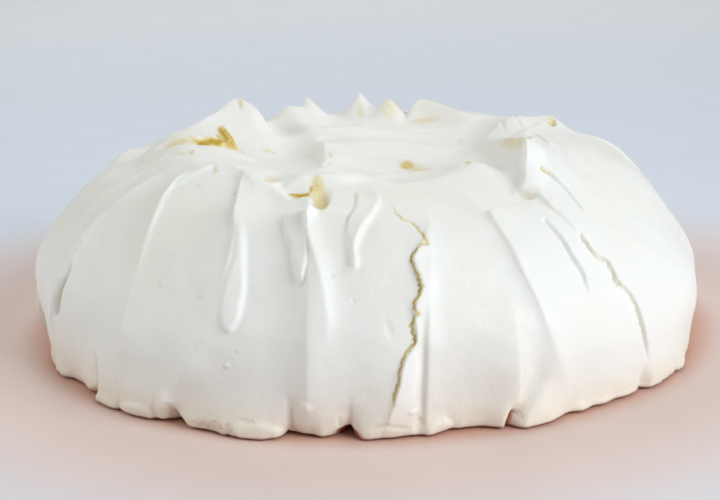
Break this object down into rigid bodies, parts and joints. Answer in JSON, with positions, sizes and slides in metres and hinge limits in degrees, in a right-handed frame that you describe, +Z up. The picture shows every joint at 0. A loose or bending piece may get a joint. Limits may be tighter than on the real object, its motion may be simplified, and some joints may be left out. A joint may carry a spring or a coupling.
{
  "type": "pavlova",
  "caption": "Large round baked meringue shell with folded, cracked sides and a shallow hollow top for cream and fruit.",
  "frame": {"origin": "centre of the bounding box on the plane the shell stands on", "axes": "+Z up, front of the shell (the side with the long jagged crack) toward -Y, +X to the right as seen from the front"},
  "size_m": [0.2314, 0.2376, 0.075],
  "materials": {
    "baked meringue": "satin"
  },
  "bodies": {
    "root": {"meringue": "baked meringue"}
  },
  "joints": []
}
